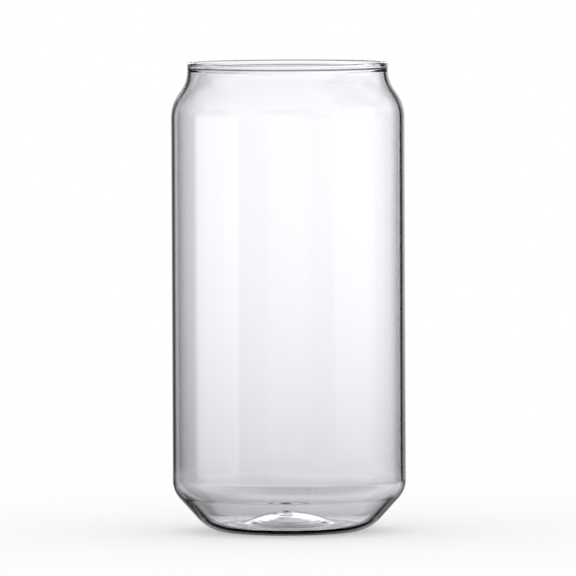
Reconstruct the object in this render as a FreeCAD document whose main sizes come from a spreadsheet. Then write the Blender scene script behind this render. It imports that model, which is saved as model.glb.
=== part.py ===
import FreeCAD, Part
import math
import os

import Sketcher

# A can shaped drinking glass
#
# One piece of clear glass, blown into a mould that has the outline of a drinks can: a long straight side, a short
# sloping shoulder up to a narrower neck, and a steep heel down to a small standing ring. The lip is melted round
# into a bead, and the middle of the bottom is pushed up into a low dome with a small pip on it.
#
# Frame: millimetres. The glass stands on the plane z = 0, its axis is the Z axis and +Z is up.

# Sizes
SIZES = {
    # whole glass
    "height": 153.0,  # standing plane to the top of the lip
    "body_diameter": 76.0,  # over the straight side
    # shoulder and neck, on the outside
    "shoulder_set_in": 5.4,  # how far the neck lies inside the side
    "shoulder_slope": 34.0,  # degrees between the shoulder and the axis
    "shoulder_round": 12.8,  # radius from the side into the shoulder
    "neck_round": 11.0,  # radius of the hollow from the shoulder into the neck
    "neck_straight": 0.75,  # from that hollow up to the underside of the lip
    # heel and standing ring, on the outside
    "heel_set_in": 12.1,  # from the side in to the corner of heel and standing plane
    "heel_rise": 13.4,  # from the standing plane up to the corner of heel and side
    "heel_round": 8.8,  # radius from the heel into the side
    "foot_round": 13.0,  # radius from the standing ring into the heel
    "ring_width": 1.9,  # flat of the standing ring
    # thickness of the glass
    "neck_wall": 1.2,
    "side_wall": 1.1,
    "heel_wall": 1.6,
    "ring_thickness": 1.9,  # over the standing ring
    "centre_thickness": 2.0,  # at the top of the dome
    # dome in the bottom
    "kick_height": 3.7,  # standing plane to the top of the hollow
    "kick_round": 14.0,  # radius from the standing ring up into the hollow
    "floor_round": 16.0,  # radius from the floor's channel up onto its dome
    # lip
    "lip_diameter": 1.95,  # the melted bead
    "lip_overhang": 0.18,  # how far the bead stands out past the neck
    "lip_blend": 0.6,  # radius of the hollows where the bead runs into the wall
    # mark of the closed glass, at the middle of the bottom
    "pip_height": 0.45,
    "pip_round": 2.4,
    "pip_blend": 1.0,
    "dimple_depth": 0.35,
    "dimple_round": 3.0,
    "dimple_blend": 0.8,
}

doc = FreeCAD.newDocument("CanShapedGlass")
sheet = doc.addObject("Spreadsheet::Sheet", "Sizes")
for row, (name, value) in enumerate(SIZES.items(), start=1):
    sheet.set("A%d" % row, name)
    sheet.set("B%d" % row, str(value))
    sheet.setAlias("B%d" % row, name)
doc.recompute()

# Names for the points of a sketch element, and for the sketch's own origin and lines, numbered down from it
START, END, CENTRE = range(1, 4)
ORIGIN = (-1, START)
BASE_LINE = ORIGIN[0]
AXIS = BASE_LINE - 1
FACING = FreeCAD.Vector(0, 0, 1)


def size(name):
    """The value of one named size, as the sheet holds it."""
    return float(sheet.get(name))


def point(r, z):
    """A point of the section: r out from the axis, z up from the standing plane."""
    return FreeCAD.Vector(r, z, 0)


def rounding(before, corner, after, radius):
    """The arc that rounds a corner between two straight runs: where it starts and ends, and its centre."""
    back = (before - corner).normalize()
    ahead = (after - corner).normalize()
    half = back.getAngle(ahead) / 2
    reach = radius / math.tan(half)
    middle = (back + ahead).normalize()
    return corner + back * reach, corner + ahead * reach, corner + middle * (radius / math.sin(half))


def beside(start, end, wall):
    """The line that runs a wall further in than the line from start to end."""
    along = (end - start).normalize()
    inward = point(-along.y, along.x) * wall
    return start + inward, end + inward


def at_radius(line, r):
    """Where a line is r out from the axis."""
    start, end = line
    return start + (end - start) * ((r - start.x) / (end.x - start.x))


def at_height(line, z):
    """Where a line is z above the standing plane."""
    start, end = line
    return start + (end - start) * ((z - start.y) / (end.y - start.y))


def touching(first, first_radius, second, second_radius):
    """The point where two circles touch, the second lying outside the first."""
    return (first * second_radius + second * first_radius) * (1 / (first_radius + second_radius))


def crown(top, foot, foot_radius):
    """A dome's round top, level at the axis, that runs into the hollow arc which starts level at its foot.

    Gives the crown's centre and radius, the hollow arc's centre, and the point where the two meet.
    """
    rise = top.y - foot.y
    turn = 2 * math.atan2(rise, foot.x)
    crown_radius = foot.x / math.sin(turn) - foot_radius
    centre = top - point(0, crown_radius)
    hollow = foot + point(0, foot_radius)
    return centre, crown_radius, hollow, touching(centre, crown_radius, hollow, foot_radius)


def cap(base, base_radius, rise, radius, blend):
    """A small cap on a crown, and the arc that blends the two.

    Gives the cap's top and centre, the blend's centre, and where the blend meets the cap and the crown.
    """
    top = base + point(0, base_radius + rise)
    centre = top - point(0, radius)
    apart = centre.y - base.y
    to_base = base_radius + blend
    to_cap = radius + blend
    up = (to_base**2 - to_cap**2 + apart**2) / (2 * apart)
    middle = base + point(math.sqrt(to_base**2 - up**2), up)
    return top, centre, middle, touching(centre, radius, middle, blend), touching(base, base_radius, middle, blend)


class Section:
    """One closed half section of the glass, drawn in the XZ plane and bound to the sizes."""

    def __init__(self, body, name):
        self.sketch = body.newObject("Sketcher::SketchObject", name)
        plane = next(feature for feature in body.Origin.OriginFeatures if feature.Role == "XZ_Plane")
        self.sketch.AttachmentSupport = [(plane, "")]
        self.sketch.MapMode = "FlatFace"
        self.numbers = {}
        self.first = {}
        self.last = {}

    def add(self, name, curve, forward=True):
        """The next element round the section. One that runs backward starts at its own END."""
        self.numbers[name] = self.sketch.addGeometry(curve, False)
        self.first[name], self.last[name] = (START, END) if forward else (END, START)

    def line(self, name, start, end):
        """A straight run."""
        self.add(name, Part.LineSegment(start, end))

    def arc(self, name, start, end, centre, forward=None):
        """A rounding, the short way round its centre unless forward asks for counterclockwise."""
        first = math.atan2(start.y - centre.y, start.x - centre.x)
        last = math.atan2(end.y - centre.y, end.x - centre.x)
        turn = (last - first) % (2 * math.pi)
        if forward is None:
            forward = turn < math.pi
        circle = Part.Circle(centre, FACING, (start - centre).Length)
        if forward:
            self.add(name, Part.ArcOfCircle(circle, first, first + turn))
        else:
            self.add(name, Part.ArcOfCircle(circle, last, last + 2 * math.pi - turn), forward=False)

    def rule(self, kind, *places):
        """A relation between elements and points, each element given by its name or number."""
        places = [self.numbers.get(place, place) for place in places]
        return self.sketch.addConstraint(Sketcher.Constraint(kind, *places))

    def join(self, *sharp):
        """Join each element to the next, smoothly unless the first of the two is in sharp."""
        names = list(self.first)
        for name, following in zip(names, names[1:] + names[:1]):
            kind = "Coincident" if name in sharp else "Tangent"
            self.rule(kind, name, self.last[name], following, self.first[following])

    def corner(self, name, place, *runs):
        """A construction point where two straight runs would meet without their rounding."""
        self.numbers[name] = self.sketch.addGeometry(Part.Point(place), True)
        for run in runs:
            self.rule("PointOnObject", name, START, run)

    def drive(self, label, expression, kind, *places):
        """A dimension, named and bound to the sizes."""
        self.sketch.renameConstraint(self.rule(kind, *places), label)
        self.sketch.setExpression("Constraints." + label, expression)

    def out(self, label, expression, name, end):
        """A distance out from the glass's axis."""
        value = self.sketch.getPoint(self.numbers[name], end).x
        self.drive(label, expression, "DistanceX", *ORIGIN, name, end, value)

    def up(self, label, expression, name, end):
        """A height above the standing plane."""
        value = self.sketch.getPoint(self.numbers[name], end).y
        self.drive(label, expression, "DistanceY", *ORIGIN, name, end, value)

    def radius(self, label, expression, name):
        """The radius of a rounding."""
        value = self.sketch.Geometry[self.numbers[name]].Radius
        self.drive(label, expression, "Radius", name, value)

    def wall(self, label, expression, inner, outer, value):
        """A sloping inside run that keeps a wall from the run outside it."""
        self.rule("Parallel", inner, outer)
        self.drive(label, expression, "Distance", inner, START, outer, value)


def wall_section(body):
    """The section of the wall: out along the underside, up the outside, over the lip, down the inside."""
    section = Section(body, "WallSection")

    # Radii and heights that more than one element needs
    side_r = size("body_diameter") / 2
    neck_r = side_r - size("shoulder_set_in")
    inner_side_r = side_r - size("side_wall")
    inner_neck_r = neck_r - size("neck_wall")
    lip_r = size("lip_diameter") / 2
    neck_bend_z = size("height") - size("lip_diameter") - size("neck_straight")
    slope = math.radians(size("shoulder_slope"))
    crown_z = size("kick_height")
    floor_crown_z = size("kick_height") + size("centre_thickness")

    # Outside corners
    foot_corner = point(side_r - size("heel_set_in"), 0)
    heel_corner = point(side_r, size("heel_rise"))
    neck_corner = point(neck_r, neck_bend_z - size("neck_round") * math.tan(slope / 2))
    shoulder_corner = neck_corner + point(1, -1 / math.tan(slope)) * size("shoulder_set_in")
    lip_centre = point(neck_r + size("lip_overhang") - lip_r, size("height") - lip_r)

    # Underside: the ring, and the hollow with its dimple
    ring_end, heel_start, foot_centre = rounding(point(0, 0), foot_corner, heel_corner, size("foot_round"))
    ring_start = ring_end - point(size("ring_width"), 0)
    kick_centre, kick_r, kick_foot_centre, kick_meet = crown(point(0, crown_z), ring_start, size("kick_round"))
    dimple_top, dimple_centre, edge_centre, dimple_end, edge_end = cap(
        kick_centre, kick_r, size("dimple_depth"), size("dimple_round"), size("dimple_blend")
    )
    section.arc("dimple", dimple_top, dimple_end, dimple_centre)
    section.arc("dimple_edge", dimple_end, edge_end, edge_centre)
    section.arc("kick_crown", edge_end, kick_meet, kick_centre)
    section.arc("kick_foot", kick_meet, ring_start, kick_foot_centre)
    section.line("ring", ring_start, ring_end)
    section.arc("foot_bend", ring_end, heel_start, foot_centre)

    # Outside: heel, side, shoulder, neck
    heel_end, side_start, heel_centre = rounding(foot_corner, heel_corner, shoulder_corner, size("heel_round"))
    side_end, shoulder_start, shoulder_centre = rounding(
        heel_corner, shoulder_corner, neck_corner, size("shoulder_round")
    )
    shoulder_end, neck_start, neck_centre = rounding(
        shoulder_corner, neck_corner, point(neck_r, neck_bend_z), size("neck_round")
    )
    section.line("heel", heel_start, heel_end)
    section.arc("heel_bend", heel_end, side_start, heel_centre)
    section.line("side", side_start, side_end)
    section.arc("shoulder_bend", side_end, shoulder_start, shoulder_centre)
    section.line("shoulder", shoulder_start, shoulder_end)
    section.arc("neck_bend", shoulder_end, neck_start, neck_centre)

    # Lip: a bead that runs into both faces of the wall
    blend = size("lip_blend")

    def lip_hollow(wall_r, side):
        """The hollow between the bead and a face of the neck: its centre and where it meets the bead."""
        centre_r = wall_r + side * blend
        drop = math.sqrt((lip_r + blend) ** 2 - (centre_r - lip_centre.x) ** 2)
        centre = point(centre_r, lip_centre.y - drop)
        return centre, touching(lip_centre, lip_r, centre, blend)

    outer_hollow, lip_start = lip_hollow(neck_r, 1)
    inner_hollow, lip_end = lip_hollow(inner_neck_r, -1)
    outer_neck_end = point(neck_r, outer_hollow.y)
    inner_neck_start = point(inner_neck_r, inner_hollow.y)
    section.line("neck", neck_start, outer_neck_end)
    section.arc("lip_outer_hollow", outer_neck_end, lip_start, outer_hollow)
    section.arc("lip", lip_start, lip_end, lip_centre, forward=True)
    section.arc("lip_inner_hollow", lip_end, inner_neck_start, inner_hollow)

    # Inside: each sloping run keeps its wall from the run outside it
    shoulder_line = beside(shoulder_corner, neck_corner, size("neck_wall"))
    heel_line = beside(foot_corner, heel_corner, size("heel_wall"))
    inner_neck_corner = at_radius(shoulder_line, inner_neck_r)
    inner_shoulder_corner = at_radius(shoulder_line, inner_side_r)
    inner_heel_corner = at_radius(heel_line, inner_side_r)
    floor_corner = at_height(heel_line, size("ring_thickness"))
    neck_in, neck_out, neck_middle = rounding(
        inner_neck_start, inner_neck_corner, inner_shoulder_corner, size("neck_round") + size("neck_wall")
    )
    shoulder_in, shoulder_out, shoulder_middle = rounding(
        inner_neck_corner, inner_shoulder_corner, inner_heel_corner, size("shoulder_round") - size("side_wall")
    )
    heel_in, heel_out, heel_middle = rounding(
        inner_shoulder_corner, inner_heel_corner, floor_corner, size("heel_round") - size("side_wall")
    )
    floor_in, floor_low, floor_middle = rounding(
        inner_heel_corner, floor_corner, point(0, floor_corner.y), size("foot_round") - size("heel_wall")
    )
    section.line("inner_neck", inner_neck_start, neck_in)
    section.arc("inner_neck_bend", neck_in, neck_out, neck_middle)
    section.line("inner_shoulder", neck_out, shoulder_in)
    section.arc("inner_shoulder_bend", shoulder_in, shoulder_out, shoulder_middle)
    section.line("inner_side", shoulder_out, heel_in)
    section.arc("inner_heel_bend", heel_in, heel_out, heel_middle)
    section.line("inner_heel", heel_out, floor_in)
    section.arc("floor_bend", floor_in, floor_low, floor_middle)

    # Floor: the dome over the hollow, with the pip on it
    dome_centre, dome_r, dome_foot_centre, dome_meet = crown(point(0, floor_crown_z), floor_low, size("floor_round"))
    pip_top, pip_centre, pip_edge_centre, pip_end, pip_edge_end = cap(
        dome_centre, dome_r, size("pip_height"), size("pip_round"), size("pip_blend")
    )
    section.arc("dome_foot", floor_low, dome_meet, dome_foot_centre)
    section.arc("dome_crown", dome_meet, pip_edge_end, dome_centre)
    section.arc("pip_edge", pip_edge_end, pip_end, pip_edge_centre)
    section.arc("pip", pip_end, pip_top, pip_centre)
    section.line("middle", pip_top, dimple_top)

    # How the elements meet and lie
    section.join("pip", "middle")
    for name in ("side", "neck", "inner_neck", "inner_side"):
        section.rule("Vertical", name)
    section.rule("Horizontal", "ring")
    section.rule("PointOnObject", "ring", START, BASE_LINE)
    section.rule("Vertical", "floor_bend", CENTRE, "dome_foot", CENTRE)
    section.rule("PointOnObject", "middle", START, AXIS)
    section.rule("PointOnObject", "middle", END, AXIS)
    for name in ("dimple", "kick_crown", "dome_crown", "pip"):
        section.rule("PointOnObject", name, CENTRE, AXIS)
    section.corner("foot_corner", foot_corner, "heel", BASE_LINE)
    section.corner("heel_corner", heel_corner, "heel", "side")

    # Dimensions of the underside
    section.corner("kick_top", point(0, crown_z), "kick_crown", AXIS)
    section.up("KickHeight", "Sizes.kick_height", "kick_top", START)
    section.radius("KickRound", "Sizes.kick_round", "kick_foot")
    section.drive("RingWidth", "Sizes.ring_width", "Distance", "ring", size("ring_width"))
    section.up("DimpleTop", "Sizes.kick_height + Sizes.dimple_depth", "middle", END)
    section.radius("DimpleRound", "Sizes.dimple_round", "dimple")
    section.radius("DimpleBlend", "Sizes.dimple_blend", "dimple_edge")

    # Dimensions of the outside
    section.out("FootRadius", "Sizes.body_diameter / 2 - Sizes.heel_set_in", "foot_corner", START)
    section.radius("FootRound", "Sizes.foot_round", "foot_bend")
    section.up("HeelRise", "Sizes.heel_rise", "heel_corner", START)
    section.radius("HeelRound", "Sizes.heel_round", "heel_bend")
    section.out("SideRadius", "Sizes.body_diameter / 2", "side", START)
    section.radius("ShoulderRound", "Sizes.shoulder_round", "shoulder_bend")
    section.drive(
        "ShoulderSlope", "(90 + Sizes.shoulder_slope) * 1 deg", "Angle", "shoulder", math.pi / 2 + slope
    )
    section.radius("NeckRound", "Sizes.neck_round", "neck_bend")
    section.up("NeckFoot", "Sizes.height - Sizes.lip_diameter - Sizes.neck_straight", "neck", START)
    section.out("NeckRadius", "Sizes.body_diameter / 2 - Sizes.shoulder_set_in", "neck", END)

    # Dimensions of the lip
    section.radius("LipRadius", "Sizes.lip_diameter / 2", "lip")
    section.up("LipHeight", "Sizes.height - Sizes.lip_diameter / 2", "lip", CENTRE)
    section.out(
        "LipCentre",
        "Sizes.body_diameter / 2 - Sizes.shoulder_set_in + Sizes.lip_overhang - Sizes.lip_diameter / 2",
        "lip",
        CENTRE,
    )
    section.radius("LipOuterBlend", "Sizes.lip_blend", "lip_outer_hollow")
    section.radius("LipInnerBlend", "Sizes.lip_blend", "lip_inner_hollow")

    # Dimensions of the inside
    section.drive(
        "NeckWall", "Sizes.neck_wall", "DistanceX", "inner_neck", START, "neck", END, size("neck_wall")
    )
    section.radius("InnerNeckRound", "Sizes.neck_round + Sizes.neck_wall", "inner_neck_bend")
    section.wall("ShoulderWall", "Sizes.neck_wall", "inner_shoulder", "shoulder", size("neck_wall"))
    section.radius("InnerShoulderRound", "Sizes.shoulder_round - Sizes.side_wall", "inner_shoulder_bend")
    section.drive(
        "SideWall", "Sizes.side_wall", "DistanceX", "inner_side", END, "side", START, size("side_wall")
    )
    section.radius("InnerHeelRound", "Sizes.heel_round - Sizes.side_wall", "inner_heel_bend")
    section.wall("HeelWall", "Sizes.heel_wall", "inner_heel", "heel", size("heel_wall"))
    section.radius("FloorBend", "Sizes.foot_round - Sizes.heel_wall", "floor_bend")
    section.up("RingThickness", "Sizes.ring_thickness", "dome_foot", section.first["dome_foot"])
    section.radius("FloorRound", "Sizes.floor_round", "dome_foot")
    section.corner("dome_top", point(0, floor_crown_z), "dome_crown", AXIS)
    section.up("DomeTop", "Sizes.kick_height + Sizes.centre_thickness", "dome_top", START)
    section.up(
        "PipTop", "Sizes.kick_height + Sizes.centre_thickness + Sizes.pip_height", "middle", START
    )
    section.radius("PipRound", "Sizes.pip_round", "pip")
    section.radius("PipBlend", "Sizes.pip_blend", "pip_edge")
    return section.sketch


# The glass
#
# A mould shapes the outside and the air blown in shapes the inside, and both are round about one axis. So one
# section of the wall, turned once round that axis, makes the whole glass.
glass = doc.addObject("PartDesign::Body", "Glass")
glass.Label = "glass_vessel"
glass.Placement = FreeCAD.Placement()
sketch = wall_section(glass)
turned_wall = glass.newObject("PartDesign::Revolution", "TurnedWall")
turned_wall.Profile = sketch
turned_wall.ReferenceAxis = (sketch, ["V_Axis"])
turned_wall.Angle = 360
doc.recompute()

# Checks before anything is written
for item in doc.Objects:
    if "Invalid" in item.State or "Error" in item.State:
        raise RuntimeError("%s did not compute" % item.Label)
if not sketch.FullyConstrained:
    raise RuntimeError("the wall's section is not fully constrained")
if glass.Shape.isNull() or not glass.Shape.isValid() or len(glass.Shape.Solids) != 1:
    raise RuntimeError("the glass is not one sound solid")

os.makedirs("parts", exist_ok=True)
glass.Shape.exportStep(os.path.join("parts", glass.Label + ".step"))
box = glass.Shape.optimalBoundingBox()
print("glass %.2f wide, %.2f tall, %.2f cm3 of glass" % (box.XLength, box.ZLength, glass.Shape.Volume / 1000))
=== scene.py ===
# %% [markdown]
# # A can shaped drinking glass
#
# One piece of clear glass with the outline of a drinks can: a long straight side, a short sloping shoulder, a
# narrower neck with a melted lip, a steep heel, and a bottom that is pushed up into a low dome.
#
# Glass has almost no colour of its own. What the eye reads is how its walls bend and mirror what stands round it.
# So three things decide the picture: a wall with the right section, a clean glass finish, and a studio that puts
# light and dark where a photographer would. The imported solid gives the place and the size, and everything here is
# in metres in its frame: the glass stands on z = 0 with its axis on Z.

import math
import random

import bmesh
import bpy
from mathutils import Matrix, Vector


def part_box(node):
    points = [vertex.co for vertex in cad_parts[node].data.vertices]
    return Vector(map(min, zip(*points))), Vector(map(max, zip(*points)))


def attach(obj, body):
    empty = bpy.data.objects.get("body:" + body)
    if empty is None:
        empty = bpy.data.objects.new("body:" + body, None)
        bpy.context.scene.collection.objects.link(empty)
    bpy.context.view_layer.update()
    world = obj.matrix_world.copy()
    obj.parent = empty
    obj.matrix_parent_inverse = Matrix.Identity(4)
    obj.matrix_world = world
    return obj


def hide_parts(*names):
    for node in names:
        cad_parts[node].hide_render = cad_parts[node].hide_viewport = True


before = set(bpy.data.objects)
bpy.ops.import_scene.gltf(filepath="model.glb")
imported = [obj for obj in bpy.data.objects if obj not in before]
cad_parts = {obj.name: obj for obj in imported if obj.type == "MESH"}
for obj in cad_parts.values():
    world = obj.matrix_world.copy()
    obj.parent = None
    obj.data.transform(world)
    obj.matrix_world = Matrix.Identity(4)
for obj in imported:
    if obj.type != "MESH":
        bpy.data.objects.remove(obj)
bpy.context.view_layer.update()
low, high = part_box("glass_vessel")
HEIGHT = high[2] - low[2]
SIDE_R = (high[0] - low[0]) / 2
print("glass %.1f mm tall, %.1f mm across" % (HEIGHT * 1000, SIDE_R * 2000))

# %% [markdown]
# ## The line of the wall
#
# The real glass is blown into a mould that turns, so one line, turned round the axis, gives both its faces. That
# line could be drawn as a curve object, but a few corners with a radius each say more plainly what a glass maker
# would measure: where the side, the shoulder, the neck and the heel would meet, and how softly they do. Of the
# helpers, one draws an arc about a centre, one rounds such a line of corners, and one divides its long runs.

# %% Helpers for the line
MM = 0.001
STEP = math.radians(3.0)


def arc(centre, radius, start, end):
    """Points of an arc about a centre, from one angle to another, no coarser than STEP."""
    count = max(2, math.ceil(abs(end - start) / STEP))
    turns = [start + (end - start) * i / count for i in range(count + 1)]
    return [Vector((centre.x + radius * math.cos(t), centre.y + radius * math.sin(t))) for t in turns]


def rounded(corners):
    """A line through corners, each (r, z, radius), with every corner rounded to its radius."""
    places = [Vector((r, z)) for r, z, _ in corners]
    line = [places[0]]
    for i in range(1, len(corners) - 1):
        corner, radius = places[i], corners[i][2]
        back = (places[i - 1] - corner).normalized()
        ahead = (places[i + 1] - corner).normalized()
        half = back.angle(ahead) / 2
        centre = corner + (back + ahead).normalized() * (radius / math.sin(half))
        first = corner + back * (radius / math.tan(half)) - centre
        last = corner + ahead * (radius / math.tan(half)) - centre
        start = math.atan2(first.y, first.x)
        turn = (math.atan2(last.y, last.x) - start + math.pi) % (2 * math.pi) - math.pi
        line += arc(centre, radius, start, start + turn)
    return line + [places[-1]]


def along(line, longest):
    """The line with its long straight runs divided, so that no step is longer than given."""
    out = [line[0]]
    for a, b in zip(line, line[1:]):
        count = max(1, math.ceil((b - a).length / longest))
        out += [a.lerp(b, i / count) for i in range(1, count + 1)]
    return out


# %% [markdown]
# ## Outside and inside
#
# The outside is the mould's shape. The inside follows it at the thickness of the wall, and no mould touches it. The
# wall is thinnest along the side and a little thicker at the neck. At the heel it grows toward the foot, where the
# glass gathers. With an even heel the inside would show as a dark notch above it, which the photograph doesn't have.

# %% Sizes of the wall
NECK_IN = 5.4 * MM
NECK_R = SIDE_R - NECK_IN
NECK_WALL = 1.2 * MM
SIDE_WALL = 1.1 * MM
TOP_HEEL_WALL = 1.25 * MM
HEEL_WALL = 1.8 * MM
RING_WALL = 1.6 * MM
SHOULDER_SLOPE = math.radians(34.0)
NECK_TALL = 2.7 * MM
NECK_FOOT = HEIGHT - NECK_TALL
SHOULDER_ROUND = 12.8 * MM
NECK_ROUND = 11.0 * MM
HEEL_ROUND = 8.8 * MM
FOOT_ROUND = 13.0 * MM
FOOT_IN = 12.1 * MM
HEEL_TALL = 13.4 * MM
FOOT_CORNER = Vector((SIDE_R - FOOT_IN, 0.0))
HEEL_CORNER = Vector((SIDE_R, HEEL_TALL))

neck_corner = Vector((NECK_R, NECK_FOOT - NECK_ROUND * math.tan(SHOULDER_SLOPE / 2)))
shoulder_corner = neck_corner + Vector((1, -1 / math.tan(SHOULDER_SLOPE))) * (SIDE_R - NECK_R)
print("corners of the shoulder: %.1f and %.1f mm up" % (shoulder_corner.y / MM, neck_corner.y / MM))


# %% Corners of the inside
def inward(start, end, wall, end_wall, r=None, z=None):
    """Where the inside of a stretch, whose wall goes from wall to end_wall, has the given radius or height."""
    along_outside = (end - start).normalized()
    to_inside = Vector((-along_outside.y, along_outside.x))
    base = start + to_inside * wall
    run = (end + to_inside * end_wall - base).normalized()
    reach = (r - base.x) / run.x if r is not None else (z - base.y) / run.y
    return base + run * reach


inner_neck = inward(shoulder_corner, neck_corner, NECK_WALL, NECK_WALL, r=NECK_R - NECK_WALL)
inner_shoulder = inward(shoulder_corner, neck_corner, NECK_WALL, NECK_WALL, r=SIDE_R - SIDE_WALL)
inner_heel = inward(FOOT_CORNER, HEEL_CORNER, HEEL_WALL, TOP_HEEL_WALL, r=SIDE_R - SIDE_WALL)
inner_foot = inward(FOOT_CORNER, HEEL_CORNER, HEEL_WALL, TOP_HEEL_WALL, z=RING_WALL)
print("inside: %.1f mm across, its heel starts %.1f mm up" % (2 * inner_heel.x / MM, inner_heel.y / MM))

# %% [markdown]
# ## The lip and the domed bottom
#
# The lip is cut, then melted until it draws up into a bead a little thicker than the wall. A full circle that runs
# into both faces through two small hollows gives the fine dark and bright lines that a real lip shows. The bottom is
# pushed up from below, so both its faces are domes of two arcs: a round crown, and a hollow that starts level at the
# standing ring.

# %% The lip's line
LIP_R = 1.1 * MM
LIP_OVERHANG = 0.12 * MM
LIP_BLEND = 0.6 * MM

lip_centre = Vector((NECK_R + LIP_OVERHANG - LIP_R, HEIGHT - LIP_R))
print("lip: a bead of %.1f mm, %.1f mm across its middle" % (2 * LIP_R / MM, 2 * lip_centre.x / MM))


def lip_hollow(wall_r, side):
    """The centre of the hollow between the bead and one face of the neck."""
    r = wall_r + side * LIP_BLEND
    return Vector((r, lip_centre.y - math.sqrt((LIP_R + LIP_BLEND) ** 2 - (r - lip_centre.x) ** 2)))


def lip_line():
    """Up the outside of the neck, over the bead and down onto its inside."""
    outer = lip_hollow(NECK_R, 1)
    inner = lip_hollow(NECK_R - NECK_WALL, -1)
    to_outer = math.atan2(outer.y - lip_centre.y, outer.x - lip_centre.x)
    to_inner = math.atan2(inner.y - lip_centre.y, inner.x - lip_centre.x) % (2 * math.pi)
    up = arc(outer, LIP_BLEND, math.pi, to_outer + math.pi)
    over = arc(lip_centre, LIP_R, to_outer, to_inner)
    down = arc(inner, LIP_BLEND, to_inner - math.pi, 0.0)
    return up + over[1:] + down[1:]


# %% The dome's line
def dome_line(top, foot, foot_round):
    """From the axis out to the foot of a dome: a round crown, then the hollow round its foot."""
    turn = 2 * math.atan2(top - foot.y, foot.x)
    crown_r = foot.x / math.sin(turn) - foot_round
    crown = arc(Vector((0, top - crown_r)), crown_r, math.pi / 2, math.pi / 2 - turn)
    hollow = arc(foot + Vector((0, foot_round)), foot_round, -math.pi / 2 - turn, -math.pi / 2)
    return crown + hollow[1:]


# %% [markdown]
# ## One closed line
#
# All the stretches join into one line that starts under the middle of the bottom and ends on top of it. The
# outside comes first, so that the faces which are made from the line look outward. The bottom is divided more finely
# than the side, because the mark in its middle is small.

# %% Join the stretches
RING_WIDTH = 1.9 * MM
KICK_TOP = 3.7 * MM
KICK_ROUND = 14.0 * MM
CENTRE_WALL = 2.0 * MM
FLOOR_ROUND = 16.0 * MM
LONG = 3.0 * MM
FINE = 0.8 * MM

outside = rounded([
    (0, 0, 0),
    (FOOT_CORNER.x, FOOT_CORNER.y, FOOT_ROUND),
    (HEEL_CORNER.x, HEEL_CORNER.y, HEEL_ROUND),
    (shoulder_corner.x, shoulder_corner.y, SHOULDER_ROUND),
    (neck_corner.x, neck_corner.y, NECK_ROUND),
    (NECK_R, NECK_FOOT, 0),
])[1:]
ring_start = outside[0] - Vector((RING_WIDTH, 0))
inside = rounded([
    (NECK_R - NECK_WALL, NECK_FOOT, 0),
    (inner_neck.x, inner_neck.y, NECK_ROUND + NECK_WALL),
    (inner_shoulder.x, inner_shoulder.y, SHOULDER_ROUND - SIDE_WALL),
    (inner_heel.x, inner_heel.y, HEEL_ROUND - SIDE_WALL),
    (inner_foot.x, inner_foot.y, FOOT_ROUND - HEEL_WALL),
    (0, RING_WALL, 0),
])[1:-1]
under = along(dome_line(KICK_TOP, ring_start, KICK_ROUND), FINE)
floor_line = dome_line(KICK_TOP + CENTRE_WALL, inside[-1], FLOOR_ROUND)[::-1]
lip = lip_line()[1:-1]
inner_line = along(inside, LONG) + along(floor_line, FINE)[1:]
wall_line = under + along(outside, LONG) + lip + inner_line
first_inner = len(wall_line) - len(inner_line)
print("%d points round the section" % len(wall_line))

# %% [markdown]
# ## What the blower's breath leaves
#
# A mould makes the outside true, but the inside is free. In the photograph the wall is thinner at the left than at
# the right, and lines in it wander a little. So the inside is moved a quarter of a millimetre off the axis over the
# straight part, and swells and sinks by a few hundredths of a millimetre in long soft waves.

# %% How the inside strays
WALL_DRIFT = Vector((-0.25 * MM, 0.0))
WAVE = 0.016 * MM
WAVE_COUNT = 7
WAVE_LOBES = (1, 4)
WAVE_PITCHES = (8, 40)
STRAY_FROM = 6 * MM
STRAY_RISE = 16 * MM
STRAY_END = HEIGHT - 2 * MM
STRAY_FALL = 14 * MM
SEED = 7

rng = random.Random(SEED)
waves = [
    (rng.randint(*WAVE_LOBES), rng.uniform(*WAVE_PITCHES), rng.uniform(0, 2 * math.pi))
    for _ in range(WAVE_COUNT)
]
print("waves round the inside: " + ", ".join("%d lobes" % lobes for lobes, _, _ in waves))


def smooth(x):
    """0 below 0, 1 above 1 and an easy rise between."""
    x = min(max(x, 0.0), 1.0)
    return x * x * (3 - 2 * x)


def stray(r, z, turn):
    """How far a point of the inside moves across, and out from the axis."""
    on_side = smooth((z - STRAY_FROM) / STRAY_RISE) * smooth((STRAY_END - z) / STRAY_FALL)
    swell = sum(math.sin(lobes * turn + pitch * z + start) for lobes, pitch, start in waves)
    return WALL_DRIFT * on_side, WAVE * swell * on_side * min(r / SIDE_R, 1.0)


# %% [markdown]
# ## The mark in the middle
#
# Where the glass was closed, the middle of the floor keeps a small uneven pip with a crease beside it. It is
# worked into the same faces: a low mound, a little off the axis, with a curved furrow that fades out, and a shallow
# dimple under it.

# %% Height of the mark
PIP_HIGH = 0.5 * MM
PIP_WIDE = 1.9 * MM
PIP_PLACE = Vector((-0.9 * MM, 0.4 * MM))
CREASE_DEEP = 0.28 * MM
CREASE_R = 2.6 * MM
CREASE_WIDE = 1.5 * MM
CREASE_PITCH = 9.0 * MM / 1.35
DIMPLE_HIGH = 0.35 * MM
DIMPLE_WIDE = 1.4 * MM
DIMPLE_PLACE = PIP_PLACE * 0.5


def bell(away, wide):
    """1 in the middle, fading softly to almost nothing at twice the width."""
    return math.exp(-((away / wide) ** 2))


def mark(x, y):
    """How far the floor rises over the dome at this place."""
    away = Vector((x, y)) - PIP_PLACE
    r = away.length
    swirl = math.cos(math.atan2(away.y, away.x) - 2 * math.pi * r / CREASE_PITCH)
    return PIP_HIGH * bell(r, PIP_WIDE) - CREASE_DEEP * bell(r - CREASE_R, CREASE_WIDE) * smooth(swirl)


def dimple(x, y):
    """How far the underside is drawn up over its dome at this place."""
    return DIMPLE_HIGH * bell((Vector((x, y)) - DIMPLE_PLACE).length, DIMPLE_WIDE)


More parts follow.
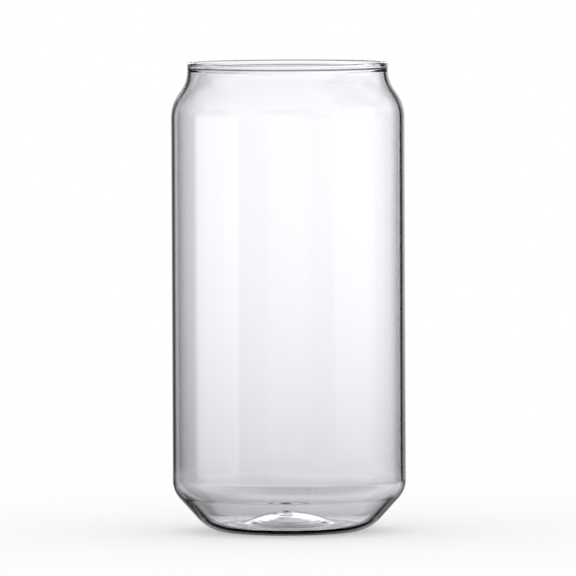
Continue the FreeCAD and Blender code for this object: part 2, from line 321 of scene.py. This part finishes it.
print("mark: the floor rises %.2f mm in its middle" % (mark(*PIP_PLACE) / MM))


# %% [markdown]
# ## Turn the line
#
# A Screw modifier would turn the line as well, but the inside has to stray from the round. So the rings are made
# one by one, with a single point where the line meets the axis.

# %% Make the glass
AROUND = 256
ON_AXIS = 0.001 * MM


def placed(i, turn):
    """Where point i of the section lies after this turn round the axis."""
    r, z = wall_line[i]
    x, y = r * math.cos(turn), r * math.sin(turn)
    if i >= first_inner:
        across, out = stray(r, z, turn)
        if r > 0:
            x, y = x * (1 + out / r) + across.x, y * (1 + out / r) + across.y
        z += mark(x, y)
    elif i < len(under):
        z += dimple(x, y)
    return x, y, z


def turned(name):
    """The closed line, turned into one skin."""
    mesh = bmesh.new()
    rings = []
    for i, (r, _) in enumerate(wall_line):
        count = 1 if r < ON_AXIS else AROUND
        rings.append([mesh.verts.new(placed(i, 2 * math.pi * j / AROUND)) for j in range(count)])
    for lower, upper in zip(rings, rings[1:]):
        for j in range(AROUND):
            a, b = lower[j % len(lower)], lower[(j + 1) % len(lower)]
            c, d = upper[(j + 1) % len(upper)], upper[j % len(upper)]
            corners = list(dict.fromkeys((a, b, c, d)))
            mesh.faces.new(corners).smooth = True
    data = bpy.data.meshes.new(name)
    mesh.to_mesh(data)
    mesh.free()
    return data


glass = bpy.data.objects.new("drinking_glass", turned("drinking_glass"))
bpy.context.scene.collection.objects.link(glass)
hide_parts("glass_vessel")
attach(glass, "root")
print("glass: %d triangles" % sum(len(face.vertices) - 2 for face in glass.data.polygons))

# %% [markdown]
# ## Shader sums in Python
#
# Materials and the studio are worked out with nodes. A chain of Math nodes is hard to read, so one small class
# stands for a node's output and takes part in sums, and one method makes every other node.


# %% Node helpers
class Wire:
    """One output of a node. Python's arithmetic on wires adds the Math nodes that work it out."""

    def __init__(self, tree, socket):
        self.tree = tree
        self.socket = socket

    def math(self, operation, *others):
        return self.tree.node("ShaderNodeMath", {"operation": operation}, self, *others)

    def __add__(self, other):
        return self.math("ADD", other)

    def __radd__(self, other):
        return self.math("ADD", other)

    def __sub__(self, other):
        return self.math("SUBTRACT", other)

    def __rsub__(self, other):
        return self.tree.node("ShaderNodeMath", {"operation": "SUBTRACT"}, other, self)

    def __mul__(self, other):
        return self.math("MULTIPLY", other)

    def __rmul__(self, other):
        return self.math("MULTIPLY", other)

    def exp(self):
        return self.math("EXPONENT")

    def step(self, start, end):
        """0 at start, 1 at end and an easy rise between; start may be the higher of the two."""
        return self.tree.node("ShaderNodeMapRange", {"interpolation_type": "SMOOTHSTEP"}, self, start, end)


class Tree:
    """The nodes of one material or world."""

    def __init__(self, owner):
        owner.use_nodes = True
        self.nodes = owner.node_tree.nodes
        self.links = owner.node_tree.links
        self.nodes.clear()

    def node(self, kind, settings=None, *values, output=0, **named):
        """A node with its settings, then its inputs in order or by name. Gives one of its outputs."""
        node = self.nodes.new(kind)
        for name, value in (settings or {}).items():
            if name == "stops":
                self.fill_ramp(node.color_ramp.elements, value)
            else:
                setattr(node, name, value)
        places = list(enumerate(values)) + [(name.replace("_", " "), value) for name, value in named.items()]
        for where, value in places:
            if value is None:
                continue
            if isinstance(value, Wire):
                self.links.new(value.socket, node.inputs[where])
            else:
                node.inputs[where].default_value = value
        return Wire(self, node.outputs[output]) if node.outputs else node

    def fill_ramp(self, elements, stops):
        """Sets a ramp's stops, each a place from 0 to 1 and a grey."""
        while len(elements) < len(stops):
            elements.new(0.5)
        for element, (place, grey) in zip(elements, stops):
            element.position = place
            element.color = (grey, grey, grey, 1.0)

    def mix(self, factor, first, second):
        """A colour between two colours."""
        settings = {"data_type": "RGBA"}
        return self.node("ShaderNodeMix", settings, factor, None, None, None, None, None, first, second, output=2)


# %% [markdown]
# ## Clear glass
#
# The glass is smooth, clear and faintly cool. One Principled shader with full transmission does that, and its index
# of 1.5 is that of common glass. A blown and fire polished face isn't dead flat, so a very low bump in long upright
# streaks breaks the mirrors a little, and the tint varies by a hair over the surface.

# %% The glass finish
GLASS_INDEX = 1.5
CLEAR = (0.990, 0.991, 0.993, 1.0)
COOL = (0.975, 0.978, 0.984, 1.0)
STREAKS = (60.0, 60.0, 7.0)
RIPPLE_STRENGTH = 0.02
RIPPLE_DEEP = 0.4 * MM
COOL_FROM = 0.3
COOL_TO = 0.7


def clear_glass():
    """Clear, colourless blown glass."""
    material = bpy.data.materials.new("clear_glass")
    tree = Tree(material)
    place_on = tree.node("ShaderNodeTexCoord", {}, output="Object")
    streaks = tree.node("ShaderNodeMapping", {}, place_on, Scale=STREAKS)
    ripple = tree.node("ShaderNodeTexNoise", {}, Vector=streaks, Scale=1.0, Detail=1.0)
    bump = tree.node("ShaderNodeBump", {}, Strength=RIPPLE_STRENGTH, Distance=RIPPLE_DEEP, Height=ripple)
    tint = tree.mix(ripple.step(COOL_FROM, COOL_TO), CLEAR, COOL)
    shader = tree.node(
        "ShaderNodeBsdfPrincipled", {}, Base_Color=tint, Roughness=0.0, IOR=GLASS_INDEX,
        Transmission_Weight=1.0, Normal=bump,
    )
    tree.node("ShaderNodeOutputMaterial", {}, shader)
    return material


glass.data.materials.append(clear_glass())
print("glass finish: %d nodes" % len(glass.data.materials[0].node_tree.nodes))

# %% [markdown]
# ## The studio
#
# A photographer lights clear glass from behind. A bright backdrop fills its middle, dark boards just out of the
# picture draw its edges as dark lines, and tall soft lights at the sides are mirrored in the front. The photograph
# shows all three. Lamps and real boards would stand in the way of the other views, so the studio is written as
# short lists of what a ray finds at each compass heading.
#
# One list holds what shows straight through the glass. It repeats eight times round, so that the glass is drawn as
# well from its other sides. Above and far below it the room is dark, which draws the lip and the bottom. The other
# lists hold what a face mirrors: level, higher up, lower down, steeply below and overhead. They differ because each
# part of the glass mirrors its own band of the room. Low boards at both sides edge the heel and the dome, and a
# bright patch behind and above lights the dome's middle.

# %% What stands round the glass
# Each pair is a heading in degrees, 0 straight behind the glass and growing to the right, and a brightness.
THROUGH = (
    (-22.5, 0.30), (-15, 0.35), (-12, 0.55), (-9, 0.75), (-7.5, 0.85), (-5.2, 0.52), (-3, 0.72), (-1.5, 0.90),
    (0, 0.97), (3, 1.02), (6, 1.20), (8, 1.05), (12, 1.00), (15, 1.70), (22.5, 1.80),
)
MIRRORED = (
    (-180, 1.2), (-162, 0.95), (-155, 0.6), (-138, 0.6), (-131, 0.9), (-128, 1.8), (-90, 1.5), (-78, 1.1),
    (-73, 0.1), (-60, 0.3), (-48, 0.2), (-41, 0.1), (-33, 0.4), (-26, 0.05), (-18, 0.05), (-9, 0.5), (0, 0.4),
    (10, 0.7), (17, 0.4), (24, 0.0), (66, 0.05), (77, 1.1), (84, 0.8), (90, 1.0), (126, 1.0), (134, 1.3),
    (141, 1.55), (168, 1.4), (180, 1.2),
)
MIRRORED_ABOVE = (
    (-180, 1.0), (-85, 1.0), (-75, 0.10), (-13, 0.05), (-8, 1.8), (8, 1.8), (13, 0.05), (75, 0.10), (85, 1.0),
    (180, 1.0),
)
MIRRORED_BELOW = (
    (-180, 0.35), (-157, 0.35), (-148, 1.0), (-26, 0.9), (-21, 0.3), (-14, 0.3), (-10, 0.7), (10, 0.7), (14, 0.3),
    (21, 0.3), (26, 0.9), (70, 1.0), (80, 0.3), (110, 0.3), (120, 1.0), (150, 1.0), (160, 0.35), (180, 0.35),
)
MIRRORED_UNDER = (
    (-180, 1.0), (-122, 1.0), (-116, 0.1), (-72, 0.1), (-65, 0.8), (-34, 0.8), (-26, 0.0), (26, 0.0), (34, 0.8),
    (50, 0.8), (80, 1.0), (180, 1.0),
)
MIRRORED_OVERHEAD = ((-180, 1.0), (-100, 1.0), (-80, 0.6), (80, 0.6), (100, 1.0), (180, 1.0))

# %% Where one list gives way to the next
# FROM and TO are heights of a ray that is one unit long: 0 is level, 1 straight up and -1 straight down. LIGHT is
# the share of the light that is left there.
TILT_FROM = 0.07
TILT_TO = 0.14
UNDER_FROM = -0.33
UNDER_TO = -0.42
OVERHEAD_FROM = 0.42
OVERHEAD_TO = 0.52
CEILING_FROM = 0.17
CEILING_TO = 0.25
CEILING_LIGHT = 0.35
STEEP_FROM = -0.44
STEEP_TO = -0.52
STEEP_LIGHT = 0.1
BRIGHTEST = 2.0
BACKDROP = 1.05


def round_about(tree, turn, stands):
    """The brightness at a heading, in radians, from a list that repeats as often as it fits round."""
    first, last = stands[0][0], stands[-1][0]
    stops = [((heading - first) / (last - first), brightness / BRIGHTEST) for heading, brightness in stands]
    place = (turn * (180 / math.pi) - first) * (1 / (last - first))
    place = place.math("FLOORED_MODULO", 1.0)
    return tree.node("ShaderNodeValToRGB", {"stops": stops}, place) * BRIGHTEST


def studio_light(tree, direction, glass_mirrors):
    """The brightness that a ray finds in a direction; glass_mirrors is 1 if a face has mirrored it."""
    ahead = tree.node("ShaderNodeSeparateXYZ", {}, direction, output="Y")
    side = tree.node("ShaderNodeSeparateXYZ", {}, direction, output="X")
    up = tree.node("ShaderNodeSeparateXYZ", {}, direction, output="Z")
    turn = side.math("ARCTAN2", ahead)
    through = round_about(tree, turn, THROUGH)
    level = round_about(tree, turn, MIRRORED)
    above = round_about(tree, turn, MIRRORED_ABOVE)
    below = round_about(tree, turn, MIRRORED_BELOW)
    under = round_about(tree, turn, MIRRORED_UNDER)
    overhead = round_about(tree, turn, MIRRORED_OVERHEAD)
    mirrored = level + up.step(TILT_FROM, TILT_TO) * (above - level)
    mirrored = mirrored + up.step(-TILT_FROM, -TILT_TO) * (below - mirrored)
    mirrored = mirrored + up.step(UNDER_FROM, UNDER_TO) * (under - mirrored)
    mirrored = mirrored + up.step(OVERHEAD_FROM, OVERHEAD_TO) * (overhead - mirrored)
    through = through * (1 - up.step(CEILING_FROM, CEILING_TO) * (1 - CEILING_LIGHT))
    through = through * (1 - up.step(STEEP_FROM, STEEP_TO) * (1 - STEEP_LIGHT))
    return (through + glass_mirrors * (mirrored - through)) * BACKDROP


lists = (MIRRORED, MIRRORED_ABOVE, MIRRORED_BELOW, MIRRORED_UNDER, MIRRORED_OVERHEAD)
print("studio: %d stops straight through, %d mirrored" % (len(THROUGH), sum(len(stands) for stands in lists)))

# %% [markdown]
# ## The world
#
# To the camera, and to everything but the glass, the world is an even white. Only a ray that the glass sends out
# finds the studio. Light Path tells them apart, and its Glossy Depth counts the faces that have mirrored the ray.

# %% World
WHITE = (1.0, 1.0, 1.0, 1.0)
COOL_WHITE = (1.0, 0.972, 1.01, 1.0)


def sent_by_glass(tree):
    """1 for a ray that the glass bent or mirrored last."""
    bent = tree.node("ShaderNodeLightPath", {}, output="Is Transmission Ray")
    return bent.math("MAXIMUM", tree.node("ShaderNodeLightPath", {}, output="Is Glossy Ray"))


def mirrored_in_glass(tree):
    """1 for a ray that any face of the glass has mirrored, 0 for one that went straight through."""
    return tree.node("ShaderNodeLightPath", {}, output="Glossy Depth").math("MINIMUM", 1.0)


world = bpy.data.worlds.new("studio")
bpy.context.scene.world = world
tree = Tree(world)
light = studio_light(tree, tree.node("ShaderNodeTexCoord", {}, output="Generated"), mirrored_in_glass(tree))
studio = tree.node("ShaderNodeBackground", {}, COOL_WHITE, light)
plain = tree.node("ShaderNodeBackground", {}, WHITE, 1.0)
tree.node("ShaderNodeOutputWorld", {}, tree.node("ShaderNodeMixShader", {}, sent_by_glass(tree), plain, studio))
print("world: %d nodes" % len(tree.nodes))

# %% [markdown]
# ## The floor
#
# The glass stands on a plain pale floor. To the camera it is white and keeps the soft shadow. For a ray that the
# glass sends out it is a painted shade sheet in front of the studio, so it never shifts the boards. At a low slant
# this sheet is a painted sheen, a painted reflection of the dark end of the room that a polished table would give:
# darkest near the glass and brighter the farther it lies behind, with a painted glow right round the foot for the
# light that the glass would gather there. A Layer Weight fades the painted sheen where the ray is steeper, and only a
# painted shade is left at the foot. From above, the pale table itself shows.

# %% Finish of the floor
# Slants are those of Layer Weight: 1 for a ray along the floor, 0 for one straight down. Distances are from the axis.
# The painted sheen, a painted reflection of the dark end of the room with painted shade near the glass, at a low
# slant:
FAR_SHEEN_GREY = 0.42
FAR_REACH = 0.80
NEAR_FROM = 0.03
NEAR_TO = 0.20
SLANT_FROM = 0.82
SLANT_TO = 0.91
# The painted glow round the foot, inside that painted sheen:
GLOW = 0.8
GLOW_FROM = 0.055
GLOW_TO = 0.085
# The painted shade at the foot, for steeper rays:
FOOT_SHADE_GREY = 0.85
FOOT_REACH = 0.07
# The table itself, from above:
ABOVE_FROM = 0.55
ABOVE_TO = 0.47
TABLE_FROM = 0.19
TABLE_TO = 0.14
TABLE_LIGHT = 1.0
# What everything but the glass sees, and the colour of the painted shade sheet:
FLOOR_PAINT = (0.6, 0.6, 0.6, 1.0)
FLOOR_FILL = 0.4
SHADE_SHEET_COLOUR = (0.0, 0.0, 0.0, 1.0)


def painted_shade_grey(away, facing):
    """How much of the studio the painted shade sheet takes away, at a distance and a slant."""
    # How far the painted shade lifts: with distance, and in a painted glow of light round the foot.
    lit = away.step(NEAR_FROM, NEAR_TO).math("MAXIMUM", away.step(GLOW_TO, GLOW_FROM) * GLOW)
    # Painted sheen: a painted reflection of a dark room, as painted shade that is darkest near the glass.
    painted_sheen = 1 - (1 - (away * (-1 / FAR_REACH)).exp() * FAR_SHEEN_GREY) * lit
    # Painted shade at the foot, standing for the glass's contact shadow, for steeper rays.
    shade = (away * (-1 / FOOT_REACH)).exp() * FOOT_SHADE_GREY
    return shade + facing.step(SLANT_FROM, SLANT_TO) * (painted_sheen - shade)


def floor_finish():
    """A pale floor that the camera sees as white, and the glass as a painted shade sheet or as the table itself."""
    material = bpy.data.materials.new("pale_floor")
    tree = Tree(material)
    spot = tree.node("ShaderNodeTexCoord", {}, output="Object")
    away = tree.node("ShaderNodeVectorMath", {"operation": "LENGTH"}, spot, output="Value")
    facing = tree.node("ShaderNodeLayerWeight", {}, Blend=0.5, output="Facing")
    table = facing.step(ABOVE_FROM, ABOVE_TO) * away.step(TABLE_FROM, TABLE_TO) * (1 - mirrored_in_glass(tree))
    paint = tree.node("ShaderNodeBsdfDiffuse", {}, FLOOR_PAINT)
    fill = tree.node("ShaderNodeEmission", {}, WHITE, FLOOR_FILL)
    plain = tree.node("ShaderNodeAddShader", {}, paint, fill)
    # Painted shade: a black sheet, mixed over the studio by the painted grey, for rays that the glass sends out.
    shade_sheet = tree.node("ShaderNodeEmission", {}, SHADE_SHEET_COLOUR, 0.0)
    clear = tree.node("ShaderNodeBsdfTransparent", {}, WHITE)
    shaded_studio = tree.node("ShaderNodeMixShader", {}, painted_shade_grey(away, facing), clear, shade_sheet)
    pale = tree.node("ShaderNodeEmission", {}, COOL_WHITE, TABLE_LIGHT)
    through_glass = tree.node("ShaderNodeMixShader", {}, table, shaded_studio, pale)
    shown = tree.node("ShaderNodeMixShader", {}, sent_by_glass(tree), plain, through_glass)
    tree.node("ShaderNodeOutputMaterial", {}, shown)
    return material


# %% Floor
FLOOR_R = 6.0
FLOOR_AROUND = 96
FLOOR_GAP = 0.05 * MM


def disc(name, radius, count):
    """A flat round sheet on z = 0."""
    mesh = bmesh.new()
    bmesh.ops.create_circle(mesh, cap_ends=True, radius=radius, segments=count)
    data = bpy.data.meshes.new(name)
    mesh.to_mesh(data)
    mesh.free()
    sheet = bpy.data.objects.new(name, data)
    bpy.context.scene.collection.objects.link(sheet)
    return sheet


ground = disc("floor", FLOOR_R, FLOOR_AROUND)
ground.location.z = low[2] - FLOOR_GAP
ground.data.materials.append(floor_finish())
print("floor: %.0f m across, %d nodes" % (2 * FLOOR_R, len(ground.data.materials[0].node_tree.nodes)))

# %% [markdown]
# ## The camera
#
# The photograph was taken from far off with a long lens: the lip is seen from 1.6 degrees above and the standing
# ring from 4.5, which puts the camera about 3.2 metres away. It looks down by 3 degrees, and the picture leans by a
# quarter of a degree. The frame is as wide as 187.7 mm of the glass's own plane.

# %% Camera
DISTANCE = 3.2
LOOKS_DOWN = math.radians(3.03)
LEANS = math.radians(0.25)
FRAME_WIDE = 187.7 * MM
FILM_WIDE = 36.0
SEES_TO = 20.0
AIM = Vector((-0.16 * MM, 0.0, 79.35 * MM))

camera = bpy.data.objects.new("camera", bpy.data.cameras.new("camera"))
bpy.context.scene.collection.objects.link(camera)
camera.data.sensor_width = FILM_WIDE
camera.data.lens = FILM_WIDE * DISTANCE / FRAME_WIDE
camera.data.clip_end = SEES_TO
back = Vector((0.0, -math.cos(LOOKS_DOWN), math.sin(LOOKS_DOWN)))
tilt = Matrix.Rotation(math.pi / 2 - LOOKS_DOWN, 4, "X") @ Matrix.Rotation(-LEANS, 4, "Z")
camera.matrix_world = Matrix.Translation(AIM + back * DISTANCE) @ tilt
bpy.context.scene.camera = camera
print("lens %.0f mm at %.1f m" % (camera.data.lens, DISTANCE))

# %% Colours as written
bpy.context.scene.view_settings.view_transform = "Standard"
